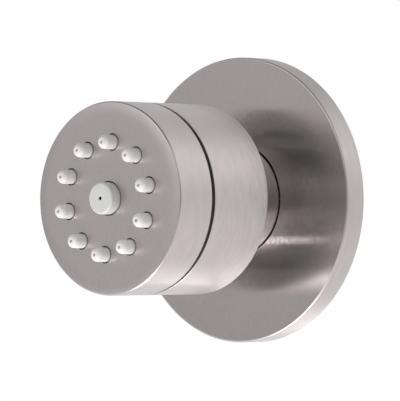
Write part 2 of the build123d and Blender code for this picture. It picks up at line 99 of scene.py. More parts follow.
class NodeSheet:
    """A node tree with short calls for adding nodes and joining sockets."""

    def __init__(self, tree: bpy.types.NodeTree) -> None:
        """Take over a material's, world's or group's node tree."""
        self.tree = tree

    def add(self, kind: str, **settings: object) -> Node:
        """Add a node.

        Args:
            kind: the node's Blender type name.
            settings: properties to set on it.

        Returns:
            The new node.
        """
        node = self.tree.nodes.new(kind)
        for name, value in settings.items():
            setattr(node, name, value)
        return node

    def join(self, source: Socket, target: Socket) -> None:
        """Link an output socket to an input socket."""
        self.tree.links.new(source, target)

    def feed(self, value: Feed, target: Socket) -> None:
        """Link a socket, or set a plain value, on an input socket.

        Args:
            value: an output socket, a number or a vector.
            target: the input socket.
        """
        if isinstance(value, Socket):
            self.join(value, target)
        else:
            target.default_value = value

    def fed(self, kind: str, values: Sequence[Feed], **settings: object) -> Node:
        """Add a node and feed its first inputs in order.

        Args:
            kind: the node's Blender type name.
            values: the sockets, numbers or vectors to feed.
            settings: properties to set on the node.

        Returns:
            The new node.
        """
        node = self.add(kind, **settings)
        for value, target in zip(values, node.inputs):
            self.feed(value, target)
        return node

    def group(self, tree: bpy.types.NodeTree, values: dict[str, float]) -> Node:
        """Place a node group.

        Args:
            tree: the group's node tree.
            values: its inputs' values by name.

        Returns:
            The new node.
        """
        node = self.add("ShaderNodeGroup", node_tree=tree)
        for name, value in values.items():
            node.inputs[name].default_value = value
        return node

    def place(self) -> Socket:
        """Look up the shaded point in the object's own coordinates."""
        return self.add("ShaderNodeTexCoord").outputs["Object"]

    def math(self, operation: str, first: Feed, second: Feed) -> Socket:
        """Work out a sum, product or the like of two numbers or sockets."""
        return self.fed("ShaderNodeMath", (first, second), operation=operation).outputs[0]

    def vector(self, operation: str, first: Feed, second: Feed = ORIGIN) -> Socket:
        """Work out a sum, product or the like of vectors.

        Args:
            operation: the Vector Math node's operation.
            first: the first vector or socket.
            second: the second vector or socket.

        Returns:
            The node's vector socket, or its value socket for a length or a dot product.
        """
        node = self.fed("ShaderNodeVectorMath", (first, second), operation=operation)
        return node.outputs["Value" if operation in ("LENGTH", "DOT_PRODUCT") else "Vector"]

    def scale(self, vector: Feed, factor: Feed) -> Socket:
        """Scale a vector by a number.

        Args:
            vector: the vector or socket.
            factor: the number or socket.

        Returns:
            The scaled vector's socket.
        """
        node = self.fed("ShaderNodeVectorMath", (vector,), operation="SCALE")
        self.feed(factor, node.inputs["Scale"])
        return node.outputs["Vector"]

    def combine(self, x: Feed, y: Feed, z: Feed) -> Socket:
        """Put three numbers or sockets together as a vector."""
        return self.fed("ShaderNodeCombineXYZ", (x, y, z)).outputs["Vector"]

    def split(self, vector: Feed) -> Sequence[Socket]:
        """Take a vector apart into its x, y and z sockets."""
        return self.fed("ShaderNodeSeparateXYZ", (vector,)).outputs

    def spread(self, value: Feed, results: Pair, ends: Pair = (0.0, 1.0), eased: bool = False) -> Socket:
        """Map a range of values onto another one.

        Args:
            value: the socket to map.
            results: what the two ends of the range become.
            ends: the two ends of the range.
            eased: whether the result eases in and out instead of running straight.

        Returns:
            The mapped value's socket.
        """
        numbers = (value, *ends, *results)
        way = "SMOOTHSTEP" if eased else "LINEAR"
        return self.fed("ShaderNodeMapRange", numbers, interpolation_type=way).outputs["Result"]

    def turn(self, normal: Feed, source: str, target: str) -> Socket:
        """Turn a normal from one space to another.

        Args:
            normal: the normal's socket.
            source: the space it is in.
            target: the space it goes to.

        Returns:
            The turned normal's socket.
        """
        node = self.fed("ShaderNodeVectorTransform", (normal,), vector_type="NORMAL")
        node.convert_from, node.convert_to = source, target
        return node.outputs[0]

    def blend(self, share: Feed, first: Socket, second: Socket) -> Socket:
        """Mix two shaders by a 0 to 1 value."""
        return self.fed("ShaderNodeMixShader", (share, first, second)).outputs["Shader"]


def new_group(
    name: str, inputs: dict[str, float], outputs: dict[str, str]
) -> tuple[NodeSheet, Node, Node]:
    """Start a shader node group.

    Args:
        name: the group's name.
        inputs: its number inputs and their defaults.
        outputs: its outputs and their socket types.

    Returns:
        The group's sheet, its input node and its output node.
    """
    tree = bpy.data.node_groups.new(name, "ShaderNodeTree")
    for label, value in inputs.items():
        socket = tree.interface.new_socket(name=label, in_out="INPUT", socket_type="NodeSocketFloat")
        socket.default_value = value
    for label, kind in outputs.items():
        tree.interface.new_socket(name=label, in_out="OUTPUT", socket_type=kind)
    sheet = NodeSheet(tree)
    return sheet, sheet.add("NodeGroupInput"), sheet.add("NodeGroupOutput")


@dataclass(frozen=True)
class GrainGroup:
    """A brushed grain: fine lines that tip the normal across themselves, and a streak value."""

    grain: Grain
    tip: float = 0.1
    swing: float = 2.0
    waviness: float = 6.0
    wave_length: float = 10.0 * MM
    detail: float = 3.0

    def build(self) -> bpy.types.NodeTree:
        """Build the group once.

        Returns:
            The group's node tree.
        """
        if self.grain.value in bpy.data.node_groups:
            return bpy.data.node_groups[self.grain.value]
        inputs = {"Lines": FINE_LINES, "Tip": self.tip}
        outputs = {"Normal": "NodeSocketVector", "Streak": "NodeSocketFloat"}
        sheet, given, result = new_group(self.grain.value, inputs, outputs)
        x, y, z = sheet.split(sheet.place())
        if self.grain is Grain.TURNED:
            flat = sheet.combine(x, 0.0, z)
            around = sheet.vector("NORMALIZE", flat)
            cosine, _, sine = sheet.split(around)
            along = sheet.combine(sheet.math("MULTIPLY", sine, -1.0), 0.0, cosine)
            lines = sheet.combine(sheet.vector("LENGTH", flat), y, 0.0)
            drift, _, rise = sheet.split(sheet.scale(around, self.waviness))
        else:
            along = sheet.combine(0.0, 0.0, 1.0)
            lines = sheet.combine(x, y, 0.0)
            drift, rise = 0.0, sheet.math("MULTIPLY", z, self.waviness / self.wave_length)
        fine = sheet.scale(lines, given.outputs["Lines"])
        noise = sheet.add("ShaderNodeTexNoise", noise_dimensions="4D")
        sheet.join(sheet.vector("ADD", fine, sheet.combine(0.0, 0.0, rise)), noise.inputs["Vector"])
        sheet.feed(drift, noise.inputs["W"])
        noise.inputs["Scale"].default_value = 1.0
        noise.inputs["Detail"].default_value = self.detail
        streak = noise.outputs["Fac"]
        normal = sheet.turn(sheet.add("ShaderNodeNewGeometry").outputs["Normal"], "WORLD", "OBJECT")
        across = sheet.vector("CROSS_PRODUCT", normal, along)
        lean = sheet.spread(streak, (-self.swing, self.swing))
        amount = sheet.math("MULTIPLY", lean, given.outputs["Tip"])
        tipped = sheet.vector("NORMALIZE", sheet.vector("ADD", normal, sheet.scale(across, amount)))
        sheet.join(sheet.turn(tipped, "OBJECT", "WORLD"), result.inputs["Normal"])
        sheet.join(streak, result.inputs["Streak"])
        return sheet.tree


@dataclass(frozen=True)
class MottleGroup:
    """Soft cloudy variation, as on moulded and handled surfaces."""

    name: str = "mottle"
    patches: float = 300.0
    detail: float = 4.0

    def build(self) -> bpy.types.NodeTree:
        """Build the group once.

        Returns:
            The group's node tree.
        """
        if self.name in bpy.data.node_groups:
            return bpy.data.node_groups[self.name]
        sheet, given, result = new_group(self.name, {"Patches": self.patches}, {"Cloud": "NodeSocketFloat"})
        noise = sheet.add("ShaderNodeTexNoise")
        sheet.join(sheet.place(), noise.inputs["Vector"])
        sheet.join(given.outputs["Patches"], noise.inputs["Scale"])
        noise.inputs["Detail"].default_value = self.detail
        sheet.join(noise.outputs["Fac"], result.inputs["Cloud"])
        return sheet.tree


def start_material(name: str) -> tuple[Material, NodeSheet, Node]:
    """Start a material with a plain Principled shader.

    Args:
        name: the material's name.

    Returns:
        The material, its sheet and its Principled node.
    """
    material = bpy.data.materials.new(name)
    material.use_nodes = True
    sheet = NodeSheet(material.node_tree)
    sheet.tree.nodes.clear()
    shader = sheet.add("ShaderNodeBsdfPrincipled")
    output = sheet.add("ShaderNodeOutputMaterial")
    sheet.join(shader.outputs["BSDF"], output.inputs["Surface"])
    return material, sheet, shader


def tinted(sheet: NodeSheet, value: Socket, low: Colour, high: Colour) -> Socket:
    """Mix two colours by a 0 to 1 value.

    Args:
        sheet: the material's sheet.
        value: the mixing value.
        low: the colour at 0.
        high: the colour at 1.

    Returns:
        The mixed colour's socket.
    """
    mix = sheet.fed("ShaderNodeMix", (value,), data_type="RGBA")
    for place, colour in zip(MIX_COLOURS_IN, (low, high)):
        mix.inputs[place].default_value = (*colour, 1.0)
    return mix.outputs[MIX_COLOUR_OUT]


@dataclass(frozen=True)
class BrushedMetal:
    """Brushed or turned metal: grain in the normal, streaks in tone and clouds in roughness."""

    name: str
    dark: Colour
    light: Colour
    grain: Grain
    tip: float
    lines: float = FINE_LINES
    smooth: float = 0.2
    rough: float = 0.3
    stretch: float = 0.0
    patches: float = 120.0

    def material(self) -> Material:
        """Make the material.

        Returns:
            The new material.
        """
        material, sheet, shader = start_material(self.name)
        grain = sheet.group(GrainGroup(self.grain).build(), {"Lines": self.lines, "Tip": self.tip})
        mottle = sheet.group(MottleGroup().build(), {"Patches": self.patches})
        tone = tinted(sheet, grain.outputs["Streak"], self.dark, self.light)
        roughness = sheet.spread(mottle.outputs["Cloud"], (self.smooth, self.rough))
        sheet.join(tone, shader.inputs["Base Color"])
        sheet.join(roughness, shader.inputs["Roughness"])
        sheet.join(grain.outputs["Normal"], shader.inputs["Normal"])
        shader.inputs["Metallic"].default_value = 1.0
        if self.stretch:
            along = sheet.add("ShaderNodeTangent", direction_type="UV_MAP", uv_map=BRUSH_MAP)
            sheet.join(along.outputs["Tangent"], shader.inputs["Tangent"])
            shader.inputs["Anisotropic"].default_value = self.stretch
            shader.inputs["Anisotropic Rotation"].default_value = QUARTER_TURN
        return material


@dataclass(frozen=True)
class Moulded:
    """Moulded plastic, silicone or rubber: cloudy tone, a faint pebbled skin and, where set, painted shade on
    the part that lies behind the face.
    """

    name: str
    dark: Colour
    light: Colour
    smooth: float
    rough: float
    patches: float = 400.0
    pebbles: float = 4000.0
    pebble: float = 0.02
    pebble_height: float = 0.1 * MM
    subsurface: float = 0.0
    glow_depth: float = 0.5 * MM
    glow_colour: Colour = (1.0, 0.95, 0.9)
    # Painted shade on the part behind the face: where it starts, how far it fades in and how much of the
    # colour is left.
    shade_below: float = 0.0
    shade_depth: float = 0.8 * MM
    shade: float = 0.30

    def material(self) -> Material:
        """Make the material.

        Returns:
            The new material.
        """
        material, sheet, shader = start_material(self.name)
        cloud = sheet.group(MottleGroup().build(), {"Patches": self.patches}).outputs["Cloud"]
        skin = sheet.group(MottleGroup().build(), {"Patches": self.pebbles}).outputs["Cloud"]
        colour = tinted(sheet, cloud, self.dark, self.light)
        # Painted shade: the colour darkens on the part of the piece that lies recessed behind the cap's face.
        if self.shade_below:
            colour = self.painted_recess_shade(sheet, colour)
        bump = sheet.add("ShaderNodeBump")
        bump.inputs["Strength"].default_value = self.pebble
        bump.inputs["Distance"].default_value = self.pebble_height
        sheet.join(skin, bump.inputs["Height"])
        sheet.join(colour, shader.inputs["Base Color"])
        sheet.join(sheet.spread(cloud, (self.smooth, self.rough)), shader.inputs["Roughness"])
        sheet.join(bump.outputs["Normal"], shader.inputs["Normal"])
        shader.inputs["Subsurface Weight"].default_value = self.subsurface
        shader.inputs["Subsurface Scale"].default_value = self.glow_depth
        shader.inputs["Subsurface Radius"].default_value = self.glow_colour
        return material

    def painted_recess_shade(self, sheet: NodeSheet, colour: Socket) -> Socket:
        """Paint shade into the colour where the surface lies recessed behind a face.

        Args:
            sheet: the material's sheet.
            colour: the surface's own colour.

        Returns:
            The colour with painted shade on its recessed part.
        """
        _, depth, _ = sheet.split(sheet.place())
        ends = (-self.shade_below, -self.shade_below + self.shade_depth)
        return sheet.scale(colour, sheet.spread(depth, (1.0, self.shade), ends, eased=True))


class Finishes:
    """Every finish on the jet, made once."""

    steel_dark: Colour = (0.53, 0.495, 0.498)
    steel_light: Colour = (0.69, 0.646, 0.649)
    # Where the painted shade starts on the nozzles and the centre jet, just behind the cap's face.
    shade_below: float = 57.2 * MM

    def __init__(self) -> None:
        """Make the materials."""
        satin, turned, straight = self.satin, Grain.TURNED, Grain.STRAIGHT
        self.face = satin("satin_face", straight, 0.06, lines=1800.0, smooth=0.28, rough=0.36, stretch=0.5)
        self.side = satin("satin_side", turned, 0.04, lines=1500.0, smooth=0.26, rough=0.34, stretch=0.7)
        self.plate = satin("satin_plate", straight, 0.07, lines=1500.0, smooth=0.24, rough=0.28, stretch=1.0)
        self.rim = satin("satin_rim", turned, 0.06, lines=1800.0, smooth=0.36, rough=0.44, stretch=0.6)
        self.neck = satin("satin_neck", turned, 0.03, lines=1800.0, smooth=0.13, rough=0.17, stretch=0.8)
        self.ring = satin("bright_ring", turned, 0.02, lines=1800.0, smooth=0.06, rough=0.10, stretch=0.5)
        self.ball = BrushedMetal(
            "polished_steel", (0.64, 0.64, 0.64), (0.74, 0.74, 0.74), turned, tip=0.03,
            smooth=0.10, rough=0.16,
        ).material()
        self.brass = BrushedMetal(
            "turned_brass", (0.70, 0.52, 0.24), (0.82, 0.64, 0.34), turned, tip=0.06
        ).material()
        self.rubber = Moulded(
            "seal_rubber", (0.012, 0.012, 0.012), (0.03, 0.03, 0.03), smooth=0.5, rough=0.65
        ).material()
        self.silicone = Moulded(
            "nozzle_silicone", (0.84, 0.82, 0.81), (0.90, 0.885, 0.875), smooth=0.38, rough=0.48,
            subsurface=0.15, shade_below=self.shade_below,
        ).material()
        self.jet = Moulded(
            "jet_plastic", (0.68, 0.695, 0.665), (0.74, 0.755, 0.725), smooth=0.35, rough=0.45,
            shade_below=self.shade_below,
        ).material()
        # A dark moulded finish: the socket body's own colour, and painted shade inside the centre jet's
        # outlet.
        self.black_and_painted_shade = Moulded(
            "moulded_black_and_painted_shade", (0.010, 0.010, 0.010), (0.02, 0.02, 0.02), smooth=0.35, rough=0.5
        ).material()
        self.acetal = Moulded(
            "moulded_white", (0.78, 0.78, 0.76), (0.84, 0.84, 0.82), smooth=0.35, rough=0.5
        ).material()

    def satin(self, name: str, grain: Grain, tip: float, **values: float) -> Material:
        """Make one of the finishes of the jet's own steel.

        Args:
            name: the material's name.
            grain: the way it was brushed.
            tip: how far its lines tip the normal.
            values: the metal's other fields.

        Returns:
            The new material.
        """
        return BrushedMetal(name, self.steel_dark, self.steel_light, grain, tip, **values).material()


@dataclass(frozen=True)
class Station:
    """A corner of a turned profile."""

    radius: float
    out: float
    rounding: float = 0.0


def tidy(form: Form) -> None:
    """Merge doubled corners and point the faces outwards."""
    bmesh.ops.remove_doubles(form, verts=form.verts[:], dist=MERGE)
    bmesh.ops.recalc_face_normals(form, faces=form.faces[:])


def spun(*stations: Station, closed: bool = True, segments: int = TURNED_SEGMENTS) -> Form:
    """Spin a profile round the jet's axis.

    Args:
        stations: the profile's corners in order, each with its rounding.
        closed: whether the last corner joins the first.
        segments: the steps of the spin.

    Returns:
        A new bmesh with the turned form.
    """
    form = bmesh.new()
    corners = [form.verts.new((station.radius, -station.out, 0.0)) for station in stations]
    pairs = list(zip(corners, corners[1:]))
    if closed:
        pairs.append((corners[-1], corners[0]))
    for first, second in pairs:
        form.edges.new((first, second))
    for corner, station in zip(corners, stations):
        if station.rounding:
            bmesh.ops.bevel(
                form, geom=[corner], offset=station.rounding, offset_type="OFFSET", segments=CORNER_SEGMENTS,
                profile=ROUND_PROFILE, affect="VERTICES", material=-1,
            )
    bmesh.ops.spin(
        form, geom=form.verts[:] + form.edges[:], cent=ORIGIN, axis=TURNING_AXIS, dvec=ORIGIN, angle=math.tau,
        steps=segments, use_merge=True, use_normal_flip=False, use_duplicate=False,
    )
    tidy(form)
    return form


def part_off(form: Form, facing: Facing, straightness: float) -> None:
    """Give the flat faces that look one way the second material, and all the others the first.

    Args:
        form: the finished form.
        facing: the way that they look.
        straightness: how straight they look that way, 1 being exactly.
    """
    for face in form.faces:
        face.material_index = int(facing.value * face.normal.y > straightness)


def take_in(form: Form, other: Form, move: Matrix = Matrix.Identity(4)) -> None:
    """Add another bmesh's form to this one.

    Args:
        form: the bmesh that grows.
        other: the bmesh that is added, and kept.
        move: where its copy goes.
    """
    mesh = bpy.data.meshes.new("passing")
    other.to_mesh(mesh)
    mesh.transform(move)
    form.from_mesh(mesh)
    bpy.data.meshes.remove(mesh)


@dataclass(frozen=True)
class Ring:
    """A round outline in a plane across the jet."""

    radius: float
    segments: int
    x: float = 0.0
    z: float = 0.0
    turn: float = 0.0


def plate(
    outline: Ring, holes: Iterable[Ring], front: float, thickness: float, edge_break: float = 0.0
) -> Form:
    """Make a flat plate with round holes.

    Args:
        outline: the plate's outer outline.
        holes: its holes.
        front: the front face's distance out from the wall.
        thickness: the plate's thickness, towards the wall.
        edge_break: the rounding of the holes' front edges, or none.

    Returns:
        A new bmesh with the plate, open at its outer edge.
    """
    form = bmesh.new()
    upright = Matrix.Rotation(math.pi / 2, 4, "X")
    outer: set[bmesh.types.BMVert] = set()
    for ring in (outline, *holes):
        place = Matrix.Translation((ring.x, -front, ring.z)) @ upright @ Matrix.Rotation(ring.turn, 4, "Z")
        made = bmesh.ops.create_circle(
            form, cap_ends=False, radius=ring.radius, segments=ring.segments, matrix=place
        )
        if ring is outline:
            outer.update(made["verts"])
    bmesh.ops.triangle_fill(
        form, use_beauty=True, use_dissolve=False, edges=form.edges[:], normal=(0.0, -1.0, 0.0)
    )
    grown = bmesh.ops.extrude_face_region(form, geom=form.faces[:], use_keep_orig=True)
    back = [item for item in grown["geom"] if isinstance(item, bmesh.types.BMVert)]
    bmesh.ops.translate(form, verts=back, vec=(0.0, thickness, 0.0))
    limit = outline.radius - MERGE
    around = [
        face for face in form.faces
        if abs(face.normal.y) < WALL_SLOPE and all(math.hypot(v.co.x, v.co.z) > limit for v in face.verts)
    ]
    bmesh.ops.delete(form, geom=around, context="FACES_ONLY")
    if edge_break:
        rims = [
            edge for edge in form.edges
            if all(abs(v.co.y + front) < MERGE and v not in outer for v in edge.verts)
            and sum(abs(face.normal.y) < WALL_SLOPE for face in edge.link_faces) == 1
        ]
        bmesh.ops.bevel(
            form, geom=rims, offset=edge_break, offset_type="OFFSET", segments=HOLE_EDGE_SEGMENTS,
            profile=ROUND_PROFILE, affect="EDGES", material=-1,
        )
    return form


def brush_map(form: Form, straight: Sequence[int]) -> None:
    """Lay a UV map whose first axis runs along the brush marks.

    Args:
        form: the finished form.
        straight: the material indices whose faces are brushed up and down, the others being turned.
    """
    layer = form.loops.layers.uv.new(BRUSH_MAP)
    for face in form.faces:
        centre = face.calc_center_median()
        middle = math.atan2(centre.z, centre.x)
        for loop in face.loops:
            x, y, z = loop.vert.co
            if face.material_index in straight:
                loop[layer].uv = (z / MAP_SIZE, x / MAP_SIZE)
                continue
            radius = math.hypot(x, z)
            angle = middle if radius < MERGE else math.atan2(z, x)
            swing = math.remainder(angle - middle, math.tau)
            loop[layer].uv = ((middle + swing) / math.tau, (radius - y) / MAP_SIZE)


@dataclass(frozen=True)
class Piece:
    """A finished mesh: the CAD node that it stands for, the body that it rides on and its material slot."""

    node: str
    body: Body
    slot: str

    def place(self, form: Form, materials: Sequence[Material], straight: Sequence[int] = ()) -> None:
        """Turn a bmesh into the scene's object.

        Args:
            form: the finished form, which is freed.
            materials: the materials, in the order of the faces' material indices.
            straight: the material indices that are brushed up and down.
        """
        brush_map(form, straight)
        mesh = bpy.data.meshes.new(f"{self.node}_dressed")
        form.to_mesh(mesh)
        form.free()
        mesh.shade_smooth()
        mesh.set_sharp_from_angle(angle=SHARP_ANGLE)
        for material in materials:
            mesh.materials.append(material)
        piece = bpy.data.objects.new(f"{self.node}_dressed", mesh)
        evened = piece.modifiers.new("even_normals", "WEIGHTED_NORMAL")
        evened.mode, evened.weight, evened.keep_sharp = "FACE_AREA", NORMAL_WEIGHT, True
        bpy.context.scene.collection.objects.link(piece)
        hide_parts(self.node)
        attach(piece, self.body.value)
        LOG.info("%s: %d faces on %s", piece.name, len(mesh.polygons), self.body.value)


@dataclass
class RosettePlate:
    """The round cover plate on the wall, with its hollow back and its two seal grooves."""

    radius: float = 38.0 * MM
    thickness: float = 6.6 * MM
    edge: float = 0.5 * MM
    bore: float = 14.8 * MM
    bore_edge: float = 0.12 * MM
    hub: float = 19.9 * MM
    hub_setback: float = 1.0 * MM
    rim: float = 32.0 * MM
    web_back: float = 3.2 * MM
    gasket_inner: float = 33.5 * MM
    gasket_outer: float = 36.7 * MM
    gasket_depth: float = 1.6 * MM
    seal_bottom: float = 16.5 * MM
    seal_back: float = 2.6 * MM
    seal_front: float = 5.0 * MM
    back_edge: float = 0.2 * MM
    straightness: float = 0.999

    def build(self) -> Form:
        """Turn the plate.

        Returns:
            The plate's form, with its front face on the second material.
        """
        form = spun(
            Station(self.bore, self.hub_setback),
            Station(self.hub, self.hub_setback, self.back_edge),
            Station(self.hub, self.web_back),
            Station(self.rim, self.web_back),
            Station(self.rim, 0.0, self.back_edge),
            Station(self.gasket_inner, 0.0),
            Station(self.gasket_inner, self.gasket_depth),
            Station(self.gasket_outer, self.gasket_depth),
            Station(self.gasket_outer, 0.0),
            Station(self.radius, 0.0, self.back_edge),
            Station(self.radius, self.thickness, self.edge),
            Station(self.bore, self.thickness, self.bore_edge),
            Station(self.bore, self.seal_front),
            Station(self.seal_bottom, self.seal_front),
            Station(self.seal_bottom, self.seal_back),
            Station(self.bore, self.seal_back),
        )
        part_off(form, Facing.OUT, self.straightness)
        return form

    def dress(self, finishes: Finishes) -> None:
        """Place the plate with its finishes."""
        piece = Piece("rosette", Body.ROSETTE_PLATE, "satin_steel")
        piece.place(self.build(), (finishes.rim, finishes.plate), (1,))


@dataclass
class NeckSleeve:
    """The short tube between rosette and head, with the inner flange that clamps it."""

    radius: float = 14.5 * MM
    inner: float = 13.0 * MM
    back: float = 0.5 * MM
    front: float = 20.0 * MM
    edge: float = 0.6 * MM
    inner_edge: float = 0.2 * MM
    flange_back: float = 13.0 * MM
    flange_front: float = 15.5 * MM
    flange_bore: float = 7.1 * MM

    def build(self) -> Form:
        """Turn the sleeve.

        Returns:
            The sleeve's form.
        """
        return spun(
            Station(self.inner, self.back, self.inner_edge),
            Station(self.radius, self.back, self.inner_edge),
            Station(self.radius, self.front, self.edge),
            Station(self.inner, self.front, self.inner_edge),
            Station(self.inner, self.flange_front),
            Station(self.flange_bore, self.flange_front),
            Station(self.flange_bore, self.flange_back),
            Station(self.inner, self.flange_back),
        )

    def dress(self, finishes: Finishes) -> None:
        """Place the sleeve with its finish."""
        Piece("neck_sleeve", Body.WALL_FITTING, "satin_steel").place(self.build(), (finishes.neck,))


@dataclass
class InletStem:
    """The brass union in the wall: pipe thread, seal groove, spanner hexagon and front boss."""

    end: float = -15.0 * MM
    thread_crest: float = 10.4775 * MM
    thread_root: float = 9.316 * MM
    thread_pitch: float = 1.814 * MM
    thread_back: float = -3.0 * MM
    thread_chamfer: float = 1.0 * MM
    thread_root_share: float = 0.46
    thread_crest_share: float = 0.07
    thread_sink: float = 0.05 * MM
    thread_steps: int = 64
    relief: float = 8.8 * MM
    hexagon_back: float = -1.0 * MM
    hexagon_length: float = 7.0 * MM
    hexagon_corner: float = 12.7017 * MM
    hexagon_sides: int = 6
    hexagon_turn: float = math.radians(30.0)
    boss: float = 12.9 * MM
    boss_front: float = 13.0 * MM
    inlet_bore: float = 7.5 * MM
    inlet_bore_end: float = -5.0 * MM
    waterway: float = 5.0 * MM
    socket: float = 7.1 * MM
    socket_back: float = 4.5 * MM
    edge: float = 0.2 * MM

    def turned(self) -> Form:
        """Turn the stem's core, as deep as the thread's root.

        Returns:
            The core's form.
        """
        hexagon_front = self.hexagon_back + self.hexagon_length
        return spun(
            Station(self.inlet_bore, self.end, self.edge),
            Station(self.thread_root, self.end, self.edge),
            Station(self.thread_root, self.thread_back),
            Station(self.relief, self.thread_back),
            Station(self.relief, hexagon_front),
            Station(self.boss, hexagon_front),
            Station(self.boss, self.boss_front, self.edge),
            Station(self.socket, self.boss_front, self.edge),
            Station(self.socket, self.socket_back),
            Station(self.waterway, self.socket_back),
            Station(self.waterway, self.inlet_bore_end),
            Station(self.inlet_bore, self.inlet_bore_end),
        )

    def hexagon(self) -> Form:
        """Make the spanner hexagon round the core.

        Returns:
            The hexagon's form.
        """
        outline = Ring(self.hexagon_corner, self.hexagon_sides, turn=self.hexagon_turn)
        hole = Ring(self.relief, TURNED_SEGMENTS)
        form = plate(outline, (hole,), self.hexagon_back + self.hexagon_length, self.hexagon_length)
        tidy(form)
        edges = [edge for edge in form.edges if edge.is_boundary]
        bmesh.ops.bridge_loops(form, edges=edges)
        tidy(form)
        return form

    def thread(self) -> Form:
        """Wind the pipe thread's ridge round the core.

        Returns:
            The ridge's form, a closed helix.
        """
        form = bmesh.new()
        half_root = self.thread_root_share * self.thread_pitch
        half_crest = self.thread_crest_share * self.thread_pitch
        sunk_root = self.thread_root - self.thread_sink
        margin = half_root + self.thread_sink
        start = self.end + margin
        turns = (self.thread_back - self.end - 2 * margin) / self.thread_pitch
        section = (
            (sunk_root, -half_root), (self.thread_crest, -half_crest),
            (self.thread_crest, half_crest), (sunk_root, half_root),
        )
        corners = [form.verts.new((radius, -(start + along), 0.0)) for radius, along in section]
        face = form.faces.new(corners)
        steps = round(turns * self.thread_steps)
        bmesh.ops.spin(
            form, geom=[face], cent=ORIGIN, axis=TURNING_AXIS,
            dvec=(0.0, -turns * self.thread_pitch / steps, 0.0), angle=math.tau * turns, steps=steps,
            use_merge=False, use_normal_flip=False, use_duplicate=False,
        )
        for vert in form.verts:
            radius = math.hypot(vert.co.x, vert.co.z)
            inside = -vert.co.y - self.end
            allowed = min(radius, self.thread_root + max(0.0, inside - self.thread_chamfer / 2))
            shrink = max(allowed, sunk_root) / radius
            vert.co.x *= shrink
            vert.co.z *= shrink
        tidy(form)
        return form

    def dress(self, finishes: Finishes) -> None:
        """Join the stem's three forms and place them with their finish.

        Args:
            finishes: the jet's finishes.
        """
        form = self.turned()
        for other in (self.hexagon(), self.thread()):
            take_in(form, other)
            other.free()
        Piece("inlet_stem", Body.WALL_FITTING, "brass").place(form, (finishes.brass,))


@dataclass
class HeadShell:
    """The head's cylinder: rear shell, dark joint ring and front cap with its drilled face."""

    radius: float = 25.0 * MM
    inner: float = 22.5 * MM
    back: float = 23.0 * MM
    rear_wall_front: float = 25.5 * MM
    opening: float = 19.0 * MM
    opening_edge: float = 0.4 * MM
    back_edge: float = 0.5 * MM
    shell_front: float = 43.7 * MM
    groove_edge: float = 0.15 * MM
    ring_radius: float = 24.4 * MM
    cap_back: float = 44.9 * MM
    face: float = 57.0 * MM
    face_back: float = 55.4 * MM
    cap_edge: float = 0.5 * MM
    roll_width: float = 3.5 * MM
    roll_angle: float = math.radians(10.0)
    roll_steps: int = 8
    drilled: float = 21.0 * MM
    nozzle_hole: float = 2.25 * MM
    nozzle_hole_segments: int = 48
    centre_hole: float = 4.45 * MM
    centre_hole_segments: int = 64
    hole_edge: float = 0.10 * MM
    straightness: float = 0.98
    places: list[Pair] = field(default_factory=list)

    def rear(self) -> Form:
        """Turn the rear shell.

        Returns:
            The shell's form, with the faces that look at the wall on the second material.
        """
        form = spun(
            Station(self.opening, self.back, self.opening_edge),
            Station(self.radius, self.back, self.back_edge),
            Station(self.radius, self.shell_front, self.groove_edge),
            Station(self.inner, self.shell_front),
            Station(self.inner, self.rear_wall_front),
            Station(self.opening, self.rear_wall_front),
        )
        part_off(form, Facing.WALL, self.straightness)
        return form

    def ring(self) -> Form:
        """Turn the joint ring.

        Returns:
            The ring's form.
        """
        return spun(
            Station(self.inner, self.shell_front),
            Station(self.ring_radius, self.shell_front),
            Station(self.ring_radius, self.cap_back),
            Station(self.inner, self.cap_back),
        )

    def cap(self) -> Form:
        """Turn the front cap and drill its face.

        Returns:
            The cap's form, with its front face on the second material.
        """
        sweep = self.roll_width / math.sin(self.roll_angle)
        flat = self.radius - self.roll_width
        angles = [self.roll_angle * step / self.roll_steps for step in range(self.roll_steps)]
        rolled = [
            Station(flat + sweep * math.sin(angle), self.face - sweep * (1.0 - math.cos(angle)))
            for angle in angles
        ]
        corner = self.face - sweep * (1.0 - math.cos(self.roll_angle))
        form = spun(
            Station(self.drilled, self.face),
            *rolled,
            Station(self.radius, corner, self.cap_edge),
            Station(self.radius, self.cap_back, self.groove_edge),
            Station(self.inner, self.cap_back),
            Station(self.inner, self.face_back),
            Station(self.drilled, self.face_back),
            closed=False,
        )
        holes = [Ring(self.nozzle_hole, self.nozzle_hole_segments, x, z) for x, z in self.places]
        holes.append(Ring(self.centre_hole, self.centre_hole_segments))
        drilled = plate(
            Ring(self.drilled, TURNED_SEGMENTS), holes, self.face, self.face - self.face_back, self.hole_edge
        )
        take_in(form, drilled)
        drilled.free()
        tidy(form)
        part_off(form, Facing.OUT, self.straightness)
        return form

    def dress(self, finishes: Finishes) -> None:
        """Place the three pieces with their finishes.

        Args:
            finishes: the jet's finishes.
        """
        head = Body.SPRAY_HEAD
        Piece("rear_shell", head, "satin_steel").place(self.rear(), (finishes.side, finishes.ring))
        Piece("joint_ring", head, "black_rubber").place(self.ring(), (finishes.rubber,))
        Piece("front_cap", head, "satin_steel").place(self.cap(), (finishes.side, finishes.face), (1,))


